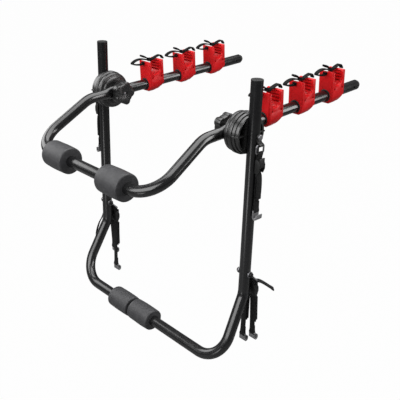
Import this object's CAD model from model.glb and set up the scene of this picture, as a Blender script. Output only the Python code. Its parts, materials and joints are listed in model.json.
# A bike rack that straps to a car's tail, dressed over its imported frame
import bpy
import json
import math
from mathutils import Matrix, Vector, noise


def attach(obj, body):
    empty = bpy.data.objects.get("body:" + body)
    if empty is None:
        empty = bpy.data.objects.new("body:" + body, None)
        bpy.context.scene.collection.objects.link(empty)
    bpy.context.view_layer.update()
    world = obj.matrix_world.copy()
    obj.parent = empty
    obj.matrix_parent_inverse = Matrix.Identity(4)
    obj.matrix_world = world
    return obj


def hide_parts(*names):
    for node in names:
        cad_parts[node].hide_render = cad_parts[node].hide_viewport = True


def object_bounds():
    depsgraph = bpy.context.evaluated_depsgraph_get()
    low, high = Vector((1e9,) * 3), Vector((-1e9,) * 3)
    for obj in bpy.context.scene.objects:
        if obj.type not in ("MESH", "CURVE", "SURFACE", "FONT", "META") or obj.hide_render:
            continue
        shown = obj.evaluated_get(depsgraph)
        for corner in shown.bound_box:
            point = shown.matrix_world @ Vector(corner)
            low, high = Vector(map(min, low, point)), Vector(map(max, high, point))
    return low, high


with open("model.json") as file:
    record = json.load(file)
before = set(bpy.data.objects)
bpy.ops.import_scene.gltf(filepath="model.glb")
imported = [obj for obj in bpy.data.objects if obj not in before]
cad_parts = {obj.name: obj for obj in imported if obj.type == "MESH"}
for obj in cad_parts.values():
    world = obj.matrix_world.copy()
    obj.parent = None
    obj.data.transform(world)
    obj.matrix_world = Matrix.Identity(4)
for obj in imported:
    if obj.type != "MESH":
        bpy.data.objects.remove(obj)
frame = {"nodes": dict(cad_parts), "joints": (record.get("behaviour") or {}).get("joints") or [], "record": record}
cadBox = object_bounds()
nodes = frame["nodes"]
scene = bpy.context.scene
print("frame loaded,", len(nodes), "nodes")

mm = 0.001
sides = {"left": -1, "right": 1}


# Getting hold of things
def letGo():
    if bpy.context.object and bpy.context.object.mode != "OBJECT":
        bpy.ops.object.mode_set(mode="OBJECT")
    bpy.ops.object.select_all(action="DESELECT")


def takeUp(piece):
    letGo()
    piece.select_set(True)
    bpy.context.view_layer.objects.active = piece


def applyAll(piece):
    takeUp(piece)
    for modifier in list(piece.modifiers):
        bpy.ops.object.modifier_apply(modifier=modifier.name)


def settle(piece):
    # the place goes into the mesh, and the object itself sits at the origin
    takeUp(piece)
    bpy.ops.object.transform_apply(location=True, rotation=True, scale=True)


def joinUp(pieces, name):
    takeUp(pieces[0])
    for other in pieces[1:]:
        other.select_set(True)
    bpy.ops.object.join()
    pieces[0].name = name
    pieces[0].data.name = name
    return pieces[0]


def shadeRound(piece, angle=35):
    takeUp(piece)
    bpy.ops.object.shade_smooth_by_angle(angle=math.radians(angle))


def facesOut(piece):
    takeUp(piece)
    bpy.ops.object.mode_set(mode="EDIT")
    bpy.ops.mesh.select_all(action="SELECT")
    bpy.ops.mesh.remove_doubles(threshold=0.02 * mm)
    bpy.ops.mesh.normals_make_consistent(inside=False)
    bpy.ops.object.mode_set(mode="OBJECT")


def dress(piece, slotName, body, nodeName=None):
    # the finish is the slot's, or the node's own where it has one
    piece.data.materials.clear()
    piece.data.materials.append(finishes[finishOf.get(nodeName, slotName)])
    if nodeName:
        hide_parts(nodeName)
    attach(piece, body)


# Finishes
def newFinish(name, sockets):
    finish = bpy.data.materials.new(name)
    finish.use_nodes = True
    tree = finish.node_tree
    shader = tree.nodes["Principled BSDF"]
    for socket, value in sockets.items():
        shader.inputs[socket].default_value = value
    return finish, tree, shader


def addNode(tree, kind, **settings):
    node = tree.nodes.new(kind)
    for key, value in settings.items():
        if key in node.inputs:
            node.inputs[key].default_value = value
        else:
            setattr(node, key, value)
    return node


def grain(tree, scale, detail=3.0, stretch=(1, 1, 1)):
    place = addNode(tree, "ShaderNodeTexCoord")
    mapping = addNode(tree, "ShaderNodeMapping", Scale=stretch)
    clouds = addNode(tree, "ShaderNodeTexNoise", Scale=scale, Detail=detail)
    tree.links.new(place.outputs["Object"], mapping.inputs["Vector"])
    tree.links.new(mapping.outputs["Vector"], clouds.inputs["Vector"])
    return clouds.outputs["Fac"]


cloudRange = (0.3, 0.7)  # most of a noise's values lie between these


def spread(tree, value, low, high):
    remap = addNode(tree, "ShaderNodeMapRange")
    ends = {"From Min": cloudRange[0], "From Max": cloudRange[1], "To Min": low, "To Max": high}
    for key, number in ends.items():
        remap.inputs[key].default_value = number
    tree.links.new(value, remap.inputs["Value"])
    return remap.outputs["Result"]


def twoTone(tree, value, look, start=cloudRange[0], end=cloudRange[1]):
    ramp = addNode(tree, "ShaderNodeValToRGB")
    ramp.color_ramp.elements[0].position = start
    ramp.color_ramp.elements[0].color = (*look["dark"], 1)
    ramp.color_ramp.elements[1].position = end
    ramp.color_ramp.elements[1].color = (*look["light"], 1)
    tree.links.new(value, ramp.inputs["Fac"])
    return ramp.outputs["Color"]


def addBump(tree, shader, height, look, under=None):
    # how deep a bump goes is in mm
    bump = addNode(tree, "ShaderNodeBump", Strength=look["strength"], Distance=look["deep"] * mm)
    tree.links.new(height, bump.inputs["Height"])
    if under is not None:
        tree.links.new(under, bump.inputs["Normal"])
    tree.links.new(bump.outputs["Normal"], shader.inputs["Normal"])
    return bump.outputs["Normal"]


def cloudyFinish(name, look):
    # two tones in soft clouds, a roughness that drifts and a fine bump
    finish, tree, shader = newFinish(name, look["sockets"])
    clouds = grain(tree, look["clouds"], look.get("cloudDetail", 3.0))
    tree.links.new(twoTone(tree, clouds, look), shader.inputs["Base Color"])
    if "rough" in look:
        drift = spread(tree, grain(tree, look["drift"]), *look["rough"])
        tree.links.new(drift, shader.inputs["Roughness"])
    bump = look["bump"]
    height = grain(tree, bump["grain"], bump["detail"], bump.get("stretch", (1, 1, 1)))
    addBump(tree, shader, height, bump)
    return finish


powderCoat = {
    "dark": (0.004, 0.004, 0.0045), "light": (0.008, 0.008, 0.0085), "clouds": 14,
    "rough": (0.17, 0.23), "drift": 60,
    "bump": {"grain": 700, "detail": 2.0, "strength": 0.05, "deep": 0.1},
    "sockets": {"Specular IOR Level": 0.75},
}
redMoulding = {
    "dark": (0.50, 0.005, 0.007), "light": (0.64, 0.011, 0.014), "clouds": 30,
    "rough": (0.28, 0.42), "drift": 80,
    "bump": {"grain": 900, "detail": 2.0, "strength": 0.1, "deep": 0.1},
    "sockets": {
        "Specular IOR Level": 0.2, "Subsurface Weight": 0.04, "Subsurface Radius": (0.004, 0.001, 0.001),
    },
}
greyHook = {
    "dark": (0.12, 0.12, 0.125), "light": (0.20, 0.20, 0.205), "clouds": 50, "cloudDetail": 4.0,
    "rough": (0.36, 0.55), "drift": 150,
    "bump": {"grain": 900, "detail": 3.0, "strength": 0.15, "deep": 0.12},
    "sockets": {},
}
linerRubber = {
    "dark": (0.0084,) * 3, "light": (0.0192,) * 3, "clouds": 70, "cloudDetail": 4.0,
    "bump": {"grain": 1100, "detail": 3.0, "strength": 0.2, "deep": 0.15},
    "sockets": {"Roughness": 0.55},
}


def mouldedBlack(name, tone, rough, gloss):
    look = {
        "dark": (tone * 0.8,) * 3, "light": (tone * 1.35,) * 3, "clouds": 25,
        "rough": (rough - 0.07, rough + 0.08), "drift": 90,
        "bump": {"grain": 1500, "detail": 2.0, "strength": 0.25, "deep": 0.12},
        "sockets": {"Specular IOR Level": gloss},
    }
    return cloudyFinish(name, look)


def platedSteel(name, dark, light):
    # a little bluer than grey, with a faint drawn grain
    look = {
        "dark": (dark, dark, dark * 1.04), "light": (light, light, light * 1.04),
        "clouds": 45, "cloudDetail": 5.0, "rough": (0.32, 0.48), "drift": 200,
        "bump": {"grain": 500, "detail": 2.0, "stretch": (1, 1, 8), "strength": 0.1, "deep": 0.1},
        "sockets": {"Metallic": 1.0},
    }
    return cloudyFinish(name, look)


def foamSkin():
    look = {
        "dark": (0.028, 0.028, 0.030), "light": (0.044, 0.044, 0.047), "clouds": 120, "cloudDetail": 6.0,
        "cells": {"grain": 900, "strength": 0.25, "deep": 0.25},
        "dimples": {"grain": 60, "detail": 4.0, "strength": 0.3, "deep": 0.6},
        "sockets": {"Roughness": 0.52, "Specular IOR Level": 0.45},
    }
    finish, tree, shader = newFinish("foamSkin", look["sockets"])
    place = addNode(tree, "ShaderNodeTexCoord")
    cells = addNode(tree, "ShaderNodeTexVoronoi", Scale=look["cells"]["grain"])
    tree.links.new(place.outputs["Object"], cells.inputs["Vector"])
    tone = twoTone(tree, grain(tree, look["clouds"], look["cloudDetail"]), look)
    tree.links.new(tone, shader.inputs["Base Color"])
    first = addBump(tree, shader, cells.outputs["Distance"], look["cells"])
    dimples = look["dimples"]
    addBump(tree, shader, grain(tree, dimples["grain"], dimples["detail"]), dimples, under=first)
    return finish


def bandRubber():
    look = {
        "dark": (0.002,) * 3, "light": (0.004,) * 3,
        "ribs": {"grain": 160, "strength": 0.4, "deep": 0.3},
        "sockets": {"Roughness": 0.62, "Specular IOR Level": 0.12},
    }
    finish, tree, shader = newFinish("bandRubber", look["sockets"])
    place = addNode(tree, "ShaderNodeTexCoord")
    ribs = addNode(tree, "ShaderNodeTexWave", Scale=look["ribs"]["grain"], bands_direction="X")
    tree.links.new(place.outputs["UV"], ribs.inputs["Vector"])
    tree.links.new(twoTone(tree, ribs.outputs["Fac"], look), shader.inputs["Base Color"])
    addBump(tree, shader, ribs.outputs["Fac"], look["ribs"])
    return finish


def wovenStrap():
    look = {
        "dark": (0.003, 0.003, 0.003), "light": (0.010, 0.010, 0.011), "toneRange": (0.1, 0.8),
        "picks": {"Scale": 520, "Distortion": 0.6, "bands_direction": "DIAGONAL"},
        "cords": {"Scale": 260, "Distortion": 0.4, "bands_direction": "Y"},
        "bump": {"strength": 0.7, "deep": 0.35},
        "sockets": {"Roughness": 0.75, "Sheen Weight": 0.05, "Specular IOR Level": 0.2},
    }
    finish, tree, shader = newFinish("wovenStrap", look["sockets"])
    place = addNode(tree, "ShaderNodeTexCoord")
    weave = addNode(tree, "ShaderNodeMath", operation="MULTIPLY")
    for entry, thread in enumerate(("picks", "cords")):
        wave = addNode(tree, "ShaderNodeTexWave", **look[thread])
        tree.links.new(place.outputs["UV"], wave.inputs["Vector"])
        tree.links.new(wave.outputs["Fac"], weave.inputs[entry])
    tone = twoTone(tree, weave.outputs["Value"], look, *look["toneRange"])
    tree.links.new(tone, shader.inputs["Base Color"])
    addBump(tree, shader, weave.outputs["Value"], look["bump"])
    return finish


finishes = {
    "frame_coat": cloudyFinish("powderCoat", powderCoat),
    "cap_plastic": mouldedBlack("capPlastic", 0.018, 0.48, 0.4),
    "hub_plastic": mouldedBlack("hubPlastic", 0.009, 0.30, 0.8),
    "zinc_steel": platedSteel("platedSteel", 0.17, 0.27),
    "dull_steel": platedSteel("dullSteel", 0.03, 0.06),
    "foam": foamSkin(),
    "cradle_plastic": cloudyFinish("redMoulding", redMoulding),
    "rubber": cloudyFinish("linerRubber", linerRubber),
    "strap_rubber": bandRubber(),
    "webbing": wovenStrap(),
    "buckle_coat": mouldedBlack("buckleCoat", 0.006, 0.42, 0.4),
    "hook_grey": cloudyFinish("greyHook", greyHook),
}
finishOf = {"lower_strap_bolts": "dull_steel"}
print("finishes made,", len(finishes))

# Rigid pieces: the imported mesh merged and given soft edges, in mm. The tubes and upper rings, at 0, are
# round already and are only merged
cleaning = {"mergeWithin": 0.005, "flatWithin": 0.5, "edgeSteps": 2, "edgeFrom": 40}
edgeWidths = {
    "lower_frame": 0, "upper_frame": 0, "upright_caps": 0.3, "arm_caps": 0.3,
    "pivot_bolts": 0.2, "knob_washers": 0.15, "lower_strap_bolts": 0.3,
}
pairedEdges = {
    "hub_base": 0.6, "hub_disc": 0.6, "knob": 0.5, "strap_link": 0.3,
    "upper_buckle": 0.3, "upper_lever": 0.4, "upper_hook": 0.4, "strap_ring": 0.2, "upper_ring": 0,
    "lower_buckles": 0.3, "inner_lever": 0.4, "outer_lever": 0.4, "lower_hooks": 0.4,
}
cradleEdges = {"cradle": 0.7, "cradle_liner": 0.2}
slotOf = {s["node"]: s["material_slot"] for s in frame["record"]["subparts"]}
bodyOf = {n: body for body, group in frame["record"]["behaviour"]["bodies"].items() for n in group}


def cleanNode(nodeName, edge):
    piece = bpy.data.objects.new("clean_" + nodeName, nodes[nodeName].data.copy())
    scene.collection.objects.link(piece)
    takeUp(piece)
    bpy.ops.mesh.customdata_custom_splitnormals_clear()
    bpy.ops.object.mode_set(mode="EDIT")
    bpy.ops.mesh.select_all(action="SELECT")
    bpy.ops.mesh.remove_doubles(threshold=cleaning["mergeWithin"] * mm)
    if edge > 0:
        bpy.ops.mesh.dissolve_limited(angle_limit=math.radians(cleaning["flatWithin"]))
    bpy.ops.object.mode_set(mode="OBJECT")
    if edge > 0:
        rounding = piece.modifiers.new("edges", "BEVEL")
        rounding.width = edge * mm
        rounding.segments = cleaning["edgeSteps"]
        rounding.limit_method = "ANGLE"
        rounding.angle_limit = math.radians(cleaning["edgeFrom"])
        applyAll(piece)
    shadeRound(piece)
    dress(piece, slotOf[nodeName], bodyOf[nodeName], nodeName)


for nodeName, edge in edgeWidths.items():
    cleanNode(nodeName, edge)
for family, edge in pairedEdges.items():
    for word in sides:
        cleanNode(family + "_" + word, edge)
for word in sides:
    for number in (1, 2, 3):
        for family, edge in cradleEdges.items():
            cleanNode(family + "_" + word + "_" + str(number), edge)
print("rigid pieces cleaned")


# Soft pieces. A strap's round edge is a share of its thickness
strapForm = {"curveSteps": 5, "digits": 7, "edge": 0.28, "edgeSteps": 2, "edgeFrom": 60}


def ownPlane(origin, across, up):
    # a strap's edge line is drawn in X and Y of its own plane, and its width runs along Z
    across = Vector(across).normalized()
    up = Vector(up).normalized()
    turned = Matrix((across, up, across.cross(up))).transposed().to_4x4()
    return Matrix.Translation(Vector(origin) * mm) @ turned


def putIn(piece, plane):
    piece.matrix_world = plane
    settle(piece)
    return piece


def ownCopy(piece, name):
    twin = bpy.data.objects.new(name, piece.data.copy())
    scene.collection.objects.link(twin)
    return twin


def flatStrap(name, route, wide, thick):
    # the edge line as a smooth curve, pulled out to its width and given a thickness, in mm
    line = bpy.data.curves.new(name, "CURVE")
    line.dimensions = "3D"
    spline = line.splines.new("NURBS")
    spline.points.add(len(route) - 1)
    for point, (x, y) in zip(spline.points, route):
        point.co = (x * mm, y * mm, -wide / 2 * mm, 1)
    spline.order_u = 3
    spline.use_endpoint_u = True
    spline.resolution_u = strapForm["curveSteps"]
    strap = bpy.data.objects.new(name, line)
    scene.collection.objects.link(strap)
    takeUp(strap)
    bpy.ops.object.convert(target="MESH")
    strap = bpy.context.object
    # how far along the strap each point lies, for the weave
    places = [v.co.xy.to_tuple(strapForm["digits"]) for v in strap.data.vertices]
    reached = {places[0]: 0.0}
    for before, after in zip(places, places[1:]):
        reached[after] = reached[before] + (Vector(after) - Vector(before)).length
    bpy.ops.object.mode_set(mode="EDIT")
    bpy.ops.mesh.select_all(action="SELECT")
    for pull in range(2):
        bpy.ops.mesh.extrude_region_move(TRANSFORM_OT_translate={"value": (0, 0, wide / 2 * mm)})
    bpy.ops.object.mode_set(mode="OBJECT")
    layer = strap.data.uv_layers.new(name="alongStrap")
    for loop, spot in zip(strap.data.loops, layer.data):
        corner = strap.data.vertices[loop.vertex_index].co
        spot.uv = (reached[corner.xy.to_tuple(strapForm["digits"])], corner.z)
    body = strap.modifiers.new("body", "SOLIDIFY")
    body.thickness = thick * mm
    body.offset = 0
    edges = strap.modifiers.new("edges", "BEVEL")
    edges.width = thick * strapForm["edge"] * mm
    edges.segments = strapForm["edgeSteps"]
    edges.angle_limit = math.radians(strapForm["edgeFrom"])
    applyAll(strap)
    shadeRound(strap, 50)
    return strap


def softBlock(name, middle, size, edge, segments=3):
    # a moulded lump with round edges, in mm
    letGo()
    bpy.ops.mesh.primitive_cube_add(size=1, location=[c * mm for c in middle])
    lump = bpy.context.object
    lump.name = name
    lump.scale = [c * mm for c in size]
    settle(lump)
    lump.data.uv_layers[0].name = "alongStrap"
    rounding = lump.modifiers.new("edges", "BEVEL")
    rounding.width = edge * mm
    rounding.segments = segments
    applyAll(lump)
    shadeRound(lump)
    return lump


# Foam rolls on the two bars
rollLooks = {
    "upper": {"place": (109, -164, 468.5), "shift": 0, "across": 65, "bore": 27.4, "long": 80},
    "lower": {"place": (44.5, 0, 0), "shift": -46, "across": 58, "bore": 28.4, "long": 81},
}
rollForm = {
    "round": 3.5, "roundSteps": 6, "rings": 11, "turnSteps": 72,
    "crown": 1.1, "dents": 0.4, "dentSize": 22, "fill": 0.95,
}


def foamRoll(name, centre, look):
    # the wall's outline, spun round the bar, then crowned and slightly dented
    wall = (look["across"] - look["bore"]) / 2
    middle = centre + Vector((0, 0, look["bore"] / 2 + wall / 2)) * mm
    letGo()
    bpy.ops.mesh.primitive_plane_add(size=1, location=middle, rotation=(math.pi / 2, 0, 0))
    roll = bpy.context.object
    roll.name = name
    roll.scale = (look["long"] * mm, wall * mm, 1)
    settle(roll)
    bpy.ops.object.mode_set(mode="EDIT")
    bpy.ops.mesh.select_all(action="SELECT")
    bpy.ops.mesh.delete(type="ONLY_FACE")
    bpy.ops.mesh.select_all(action="DESELECT")
    bpy.ops.object.mode_set(mode="OBJECT")
    for corner in roll.data.vertices:
        corner.select = corner.co.z > middle.z
    bpy.ops.object.mode_set(mode="EDIT")
    bpy.ops.mesh.bevel(offset=rollForm["round"] * mm, segments=rollForm["roundSteps"], affect="VERTICES")
    bpy.ops.mesh.select_all(action="DESELECT")
    bpy.ops.object.mode_set(mode="OBJECT")
    for edge in roll.data.edges:
        ends = [roll.data.vertices[i].co for i in edge.vertices]
        edge.select = abs(ends[0].x - ends[1].x) > look["long"] / 2 * mm
    bpy.ops.object.mode_set(mode="EDIT")
    bpy.ops.mesh.subdivide(number_cuts=rollForm["rings"])
    bpy.ops.mesh.select_all(action="SELECT")
    bpy.ops.mesh.spin(steps=rollForm["turnSteps"], angle=math.tau, center=centre, axis=(1, 0, 0))
    bpy.ops.object.mode_set(mode="OBJECT")
    facesOut(roll)
    skinStarts = look["bore"] / 2 + wall / 3  # nearer the bar the bore keeps its shape
    for corner in roll.data.vertices:
        out = corner.co - centre
        along = out.x / (look["long"] / 2 * mm)
        out.x = 0
        if out.length > skinStarts * mm:
            dent = noise.noise(corner.co / (rollForm["dentSize"] * mm)) * rollForm["dents"]
            corner.co += out.normalized() * (rollForm["crown"] * (1 - along * along) + dent) * mm
    shadeRound(roll, 60)
    return roll


for level, look in rollLooks.items():
    for word, side in sides.items():
        x, y, z = look["place"]
        centre = Vector((look["shift"] + side * x, y, z)) * mm
        nodeName = level + "_pad_" + word
        roll = foamRoll("foam_" + level + "_" + word, centre, look)
        dress(roll, "foam", nodeName, nodeName)
print("foam rolls made")

# Rubber bands over the cradles, drawn along and above the arm, which rises from the pivot
armLook = {"rise": 4, "cradleStep": 123, "bandFromMiddle": 218, "bandShift": -2}
armTilt = math.radians(armLook["rise"])
alongArm = Vector((0, math.cos(armTilt), math.sin(armTilt)))
aboveArm = Vector((0, -math.sin(armTilt), math.cos(armTilt)))
pivot = next(Vector(j["pos_m"]) for j in frame["joints"] if j["name"] == "upper_frame_tilt")

bandLook = {
    "wide": 10.5, "thick": 3.2,
    "loop": [
        (-27.8, 57), (-31, 56.2), (-38, 56), (-48, 57.6), (-61, 61), (-66, 63.5), (-62, 67), (-52, 70.6),
        (-39, 72), (-27, 70), (-16.5, 66.8), (-8, 64.2), (-1, 63.2), (7, 65), (16.5, 68.4), (26, 70.4),
        (33, 71.2), (39.5, 67.4), (43.5, 59.8),
    ],
    "tail": [(-1, 65.2), (-7, 67.8), (-18, 73), (-31, 79.6)],
    "tab": {"size": (13, 5, 14), "inward": 5},
    "keeper": {"middle": (-2.5, 64.4, 0), "size": (13, 7.5, 13.5)},
    "peg": {"middle": (-27.6, 58, 0), "size": (4.4, 8, 11.5)},
    "lumpEdge": 1.6,
    "grip": {"middle": (-3.0, 68.2, 0), "size": (1.4, 1.6, 11), "edge": 0.5, "step": 3.2, "count": 3},
}


def cradleBand():
    loop = flatStrap("bandLoop", bandLook["loop"], bandLook["wide"], bandLook["thick"])
    tail = flatStrap("bandTail", bandLook["tail"], bandLook["wide"], bandLook["thick"])
    (x0, y0), (x1, y1) = bandLook["tail"][-2:]
    slope = math.atan2(y1 - y0, x1 - x0)
    tab = softBlock("bandTab", (0, 0, 0), bandLook["tab"]["size"], bandLook["lumpEdge"])
    outward = Vector((math.cos(slope), math.sin(slope), 0))
    end = Vector((x1, y1, 0)) - outward * bandLook["tab"]["inward"]
    tab.matrix_world = Matrix.Translation(end * mm) @ Matrix.Rotation(slope, 4, "Z")
    settle(tab)
    lumps = [loop, tail, tab]
    for name in ("keeper", "peg"):
        lump = bandLook[name]
        lumps.append(softBlock(name, lump["middle"], lump["size"], bandLook["lumpEdge"]))
    grip = bandLook["grip"]
    x, y, z = grip["middle"]
    for i in range(grip["count"]):
        spot = (x + (i - (grip["count"] - 1) / 2) * grip["step"], y, z)
        lumps.append(softBlock("grip", spot, grip["size"], grip["edge"], 2))
    return joinUp(lumps, "bandPattern")


bandPattern = cradleBand()
for word, side in sides.items():
    for number in (1, 2, 3):
        place = word + "_" + str(number)
        start = pivot / mm + alongArm * armLook["cradleStep"] * number
        start.x = side * armLook["bandFromMiddle"] + armLook["bandShift"]
        band = putIn(ownCopy(bandPattern, "band_" + place), ownPlane(start, alongArm, aboveArm))
        dress(band, "strap_rubber", "cradle_" + place, "cradle_strap_" + place)
bpy.data.objects.remove(bandPattern)
print("cradle bands made")

# Webbing, drawn in each strap's own plane: X towards the lever, Y up from the ring's bar
webLook = {
    "wide": 16, "thick": 1.6, "buckleEnd": -46, "turn": 3.1, "hem": 24,
    "stitch": {
        "size": (0.5, 1.0, 2.2), "edge": 0.25, "out": 2.6, "below": 3, "margin": 2,
        "count": 6, "rows": 3, "rowStep": 4.5,
    },
    "fold": {
        "start": -48, "long": 80, "gap": 2.2, "first": 2.7, "plies": 4, "bulge": (0.5, -0.3), "inward": 3,
    },
    "keeper": {
        "wide": 9, "thick": 1.2, "below": 62, "behind": -1.4, "spare": 1.2, "beside": 0.4, "edge": 0.5,
    },
    "end": {"hem": 9, "thicker": 1.6, "hemThicker": 2.4},  # both times the webbing's thickness
}


def strapLine(drop):
    # up behind the buckle, round the ring's bar, down to the hook's bar and back up for the hem
    out = webLook["turn"]
    end = webLook["buckleEnd"]
    hem = -drop + webLook["hem"]
    return [
        (0.85, end), (0.85, end + 20), (0.9, -14), (1.6, -6), (out, -3), (out, 1.2), (1.6, out), (0, out),
        (-1.6, out), (-out, 1.2), (-out, -3), (-1.6, -6), (-0.85, -14), (-0.85, end + 6), (-0.3, end - 8),
        (-0.1, end - 30), (-0.1, hem), (-0.9, -drop + 8), (-2.4, -drop + 4.5), (-out, -drop + 1),
        (-out, -drop - 1.4), (-1.6, -drop - out), (0, -drop - out), (1.6, -drop - out), (out, -drop - 1.4),
        (out, -drop + 1), (2.5, -drop + 4.5), (1.7, -drop + 8), (1.6, hem - 6), (1.6, hem),
    ]


def stitches(top):
    # rows of thread across the hem
    look = webLook["stitch"]
    count = look["count"]
    wide = webLook["wide"] - look["margin"]
    thread = softBlock("thread", (look["out"], top, 0), look["size"], look["edge"], 2)
    runs = {"across": (count, (0, 0, wide / count)), "down": (look["rows"], (0, -look["rowStep"], 0))}
    for name, (total, step) in runs.items():
        line = thread.modifiers.new(name, "ARRAY")
        line.count = total
        line.use_relative_offset = False
        line.use_constant_offset = True
        line.constant_offset_displace = [c * mm for c in step]
    applyAll(thread)
    for corner in thread.data.vertices:
        corner.co.z -= wide / 2 * (count - 1) / count * mm
    return thread


def slackFold(wobble):
    # the slack laid back and forth on itself, each turn short of the last one by the wobble
    look = webLook["fold"]
    top = look["start"]
    route = [(-0.6, top + 4), (0.4, top - 1), (look["first"], top - 1)]
    for ply in range(look["plies"]):
        x = look["first"] + ply * look["gap"]
        high = top - 1 - (ply // 2) * wobble
        low = top - look["long"] + ((ply + 1) // 2) * wobble
        goesDown = ply % 2 == 0
        begin, end = (high, low) if goesDown else (low, high)
        inward = look["inward"] if goesDown else -look["inward"]
        bulge = look["bulge"][ply % 2]
        route += [(x, begin - inward), (x + bulge, (begin + end) / 2), (x, end + inward), (x, end)]
        if ply < look["plies"] - 1:
            route += [(x + look["gap"], end)]
    return route


def keeperBand():
    # a woven loop that holds the folded slack together: a box, opened at both ends
    look, fold = webLook["keeper"], webLook["fold"]
    y = fold["start"] - look["below"]
    half = webLook["wide"] / 2 + look["beside"]
    x0 = look["behind"]
    x1 = fold["first"] + ((fold["plies"] - 1) * fold["gap"] + look["spare"])
    ring = softBlock("keeperBand", ((x0 + x1) / 2, y, 0), (x1 - x0, look["wide"], 2 * half), 0.01, 1)
    bpy.ops.object.mode_set(mode="EDIT")
    bpy.ops.mesh.select_all(action="DESELECT")
    bpy.ops.object.mode_set(mode="OBJECT")
    for face in ring.data.polygons:
        face.select = abs(face.normal.y) > 0.5
    bpy.ops.object.mode_set(mode="EDIT")
    bpy.ops.mesh.delete(type="FACE")
    bpy.ops.object.mode_set(mode="OBJECT")
    wall = ring.modifiers.new("wall", "SOLIDIFY")
    wall.thickness = look["thick"] * mm
    wall.offset = 1
    soften = ring.modifiers.new("soften", "BEVEL")
    soften.width = look["edge"] * mm
    soften.segments = 2
    applyAll(ring)
    shadeRound(ring, 50)
    return ring


def freeEnd(route):
    # a hanging end, with the last stretch turned over and thicker
    look = webLook["end"]
    wide, thick = webLook["wide"], webLook["thick"]
    before, last = (Vector(point) for point in route[-2:])
    start = last - (last - before).normalized() * look["hem"]
    hanging = flatStrap("freeEnd", route, wide, thick * look["thicker"])
    hem = flatStrap("hem", [start.to_tuple(), last.to_tuple()], wide, thick * look["hemThicker"])
    return [hanging, hem]


def webbing(name, drop, wobble=None, tail=None):
    wide, thick = webLook["wide"], webLook["thick"]
    parts = [flatStrap(name, strapLine(drop), wide, thick)]
    parts.append(stitches(-drop + webLook["hem"] - webLook["stitch"]["below"]))
    if wobble is not None:
        parts.append(flatStrap("slack", slackFold(wobble), wide, thick))
        parts.append(keeperBand())
    if tail:
        parts += freeEnd(tail)
    return joinUp(parts, name)


upperLook = {
    "ring": (301.55, 87, 535), "drop": 140,
    "tail": [(-0.5, -44), (0.3, -48), (2.7, -50.5), (4.6, -62), (5.6, -84), (4.3, -110)],
}
for word, side in sides.items():
    x, y, z = upperLook["ring"]
    strap = webbing("webbing_upper_" + word, upperLook["drop"], tail=upperLook["tail"])
    putIn(strap, ownPlane((side * x, y, z), (side, 0, 0), (0, 0, 1)))
    dress(strap, "webbing", "upper_strap_" + word, "upper_webbing_" + word)

# Each lower ring holds two straps, and the outer one hangs a little splayed
lowerLook = {
    "ring": (281, 106, 204),
    "straps": {
        "inner": {"step": -11, "splay": 0, "wobble": 3, "drop": {"left": 197, "right": 173}},
        "outer": {"step": 11, "splay": 4, "wobble": 5, "drop": {"left": 147, "right": 163}},
    },
}
looseEnd = {
    "side": "right", "strap": "outer", "aside": 40,
    "route": [(2, -13), (5, -7), (12, -5), (20, -7.5), (34, -16.5), (53, -30.5)],
}
for word, side in sides.items():
    pair = []
    x, y, z = lowerLook["ring"]
    for name, look in lowerLook["straps"].items():
        strap = webbing("strap", look["drop"][word], wobble=look["wobble"])
        lean = math.radians(look["splay"])
        origin = (side * (x + look["step"]), y, z)
        across = (0, math.cos(lean), math.sin(lean))
        pair.append(putIn(strap, ownPlane(origin, across, (0, -math.sin(lean), math.cos(lean)))))
        if (word, name) == (looseEnd["side"], looseEnd["strap"]):
            aside = math.radians(looseEnd["aside"])
            loose = joinUp(freeEnd(looseEnd["route"]), "loose")
            pair.append(putIn(loose, ownPlane(origin, (math.sin(aside), math.cos(aside), 0), (0, 0, 1))))
    both = joinUp(pair, "webbing_lower_" + word)
    dress(both, "webbing", "lower_straps_" + word, "lower_webbing_" + word)

# A thin loop of webbing that hangs beside the left leg
sideLoop = {
    "base": (-300, 96, 0), "across": (0.812, 0.583, 0), "up": (0, 0, 1), "wide": 14, "thick": 2.6,
    "route": [
        (1, 199), (-5, 186), (-13.2, 160.5), (-23.5, 143.3), (-31, 119), (-34.5, 100), (-31, 95),
        (-28.5, 103), (-25.5, 117), (-17.5, 138), (-8, 158), (-2, 176), (1, 192),
    ],
}
loopStrap = flatStrap("webbing_loop_left", sideLoop["route"], sideLoop["wide"], sideLoop["thick"])
putIn(loopStrap, ownPlane(sideLoop["base"], sideLoop["across"], sideLoop["up"]))
dress(loopStrap, "webbing", "lower_straps_left")
print("webbing made")

# Camera, floor and light
shot = {
    "place": (1.1745, -0.9452, 1.0033), "turn": 45.689, "height": 23.514, "roll": 1.787,
    "lens": 57.782, "sensor": 36, "farthest": 50,
}


def placeCamera():
    turn = math.radians(shot["turn"])
    height = math.radians(shot["height"])
    roll = math.radians(shot["roll"])
    back = Vector((math.sin(turn) * math.cos(height), -math.cos(turn) * math.cos(height), math.sin(height)))
    right = Vector((math.cos(turn), math.sin(turn), 0))
    up = back.cross(right)
    across = right * math.cos(roll) + up * math.sin(roll)
    upright = up * math.cos(roll) - right * math.sin(roll)
    turned = Matrix((across, upright, back)).transposed().to_4x4()
    bpy.ops.object.camera_add()
    camera = bpy.context.object
    camera.matrix_world = Matrix.Translation(shot["place"]) @ turned
    camera.data.lens = shot["lens"]
    camera.data.sensor_width = shot["sensor"]
    camera.data.clip_end = shot["farthest"]
    scene.camera = camera


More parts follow.
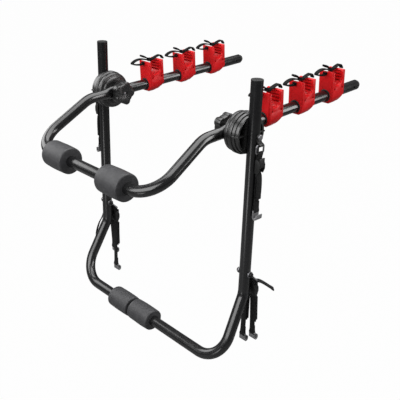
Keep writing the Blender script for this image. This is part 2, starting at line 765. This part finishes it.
studio = {
    "floorBelow": 0.55, "floorSize": 40, "floorGrey": 0.16, "floorRough": 0.9, "floorWhite": 0.985,
    "ambient": 0.13, "mirrorShare": 0.05,
    "lamps": {
        "topSoft": {"place": (0, 0.5, 2.8), "aim": (0, 0.15, 0.45), "size": (3.0, 3.0), "power": 98},
        "frontSoft": {"place": (0.1, -2.4, 1.6), "aim": (0, 0, 0.35), "size": (3.4, 2.0), "power": 84},
        "leftSoft": {"place": (-2.5, -0.7, 1.5), "aim": (0, 0, 0.35), "size": (2.0, 1.8), "power": 36},
        "backStrip": {"place": (2.0, 1.5, 1.2), "aim": (0, 0.1, 0.4), "size": (1.0, 1.6), "power": 30},
        "lowStrip": {"place": (0.35, -2.0, -0.35), "aim": (0, 0, 0.35), "size": (0.7, 0.4), "power": 2.5},
    },
}


def cameraWhite(tree, shader, kind, share):
    # what the camera or a clear piece sees is white, mirrors see a share of it, and its light stays low
    rays = addNode(tree, "ShaderNodeLightPath")
    direct = addNode(tree, "ShaderNodeMath", operation="MAXIMUM")
    straight = addNode(tree, "ShaderNodeMath", operation="MULTIPLY")
    mirrored = addNode(tree, "ShaderNodeMath", operation="MULTIPLY")
    seen = addNode(tree, "ShaderNodeMath", operation="MAXIMUM")
    straight.inputs[1].default_value = share
    mirrored.inputs[1].default_value = studio["mirrorShare"]
    tree.links.new(rays.outputs["Is Camera Ray"], direct.inputs[0])
    tree.links.new(rays.outputs["Is Transmission Ray"], direct.inputs[1])
    tree.links.new(direct.outputs["Value"], straight.inputs[0])
    tree.links.new(rays.outputs["Is Glossy Ray"], mirrored.inputs[0])
    tree.links.new(straight.outputs["Value"], seen.inputs[0])
    tree.links.new(mirrored.outputs["Value"], seen.inputs[1])
    white = addNode(tree, kind, Color=(1, 1, 1, 1), Strength=1.0)
    mix = addNode(tree, "ShaderNodeMixShader")
    tree.links.new(seen.outputs["Value"], mix.inputs["Fac"])
    tree.links.new(shader, mix.inputs[1])
    tree.links.new(white.outputs[0], mix.inputs[2])
    return mix.outputs["Shader"]


def layFloor():
    level = cadBox[0].z - studio["floorBelow"]
    bpy.ops.mesh.primitive_plane_add(size=studio["floorSize"], location=(0, 0, level))
    floor = bpy.context.object
    floor.name = "floor"
    settle(floor)
    grey = studio["floorGrey"]
    sockets = {"Base Color": (grey, grey, grey, 1), "Roughness": studio["floorRough"]}
    paint, tree, shader = newFinish("floorPaint", sockets)
    mixed = cameraWhite(tree, shader.outputs["BSDF"], "ShaderNodeEmission", studio["floorWhite"])
    tree.links.new(mixed, tree.nodes["Material Output"].inputs["Surface"])
    floor.data.materials.append(paint)


def lightStudio():
    world = bpy.data.worlds.new("studio")
    scene.world = world
    world.use_nodes = True
    tree = world.node_tree
    background = tree.nodes["Background"]
    background.inputs["Color"].default_value = (1, 1, 1, 1)
    background.inputs["Strength"].default_value = studio["ambient"]
    mixed = cameraWhite(tree, background.outputs["Background"], "ShaderNodeBackground", 1.0)
    tree.links.new(mixed, tree.nodes["World Output"].inputs["Surface"])
    for name, look in studio["lamps"].items():
        letGo()
        bpy.ops.object.light_add(type="AREA", location=look["place"])
        lamp = bpy.context.object
        lamp.name = name
        lamp.data.shape = "RECTANGLE"
        lamp.data.size, lamp.data.size_y = look["size"]
        lamp.data.energy = look["power"]
        lamp.visible_camera = False
        toAim = Vector(look["aim"]) - Vector(look["place"])
        lamp.rotation_euler = toAim.to_track_quat("-Z", "Y").to_euler()


layFloor()
placeCamera()
lightStudio()
scene.view_settings.view_transform = "Standard"
print("scene ready")
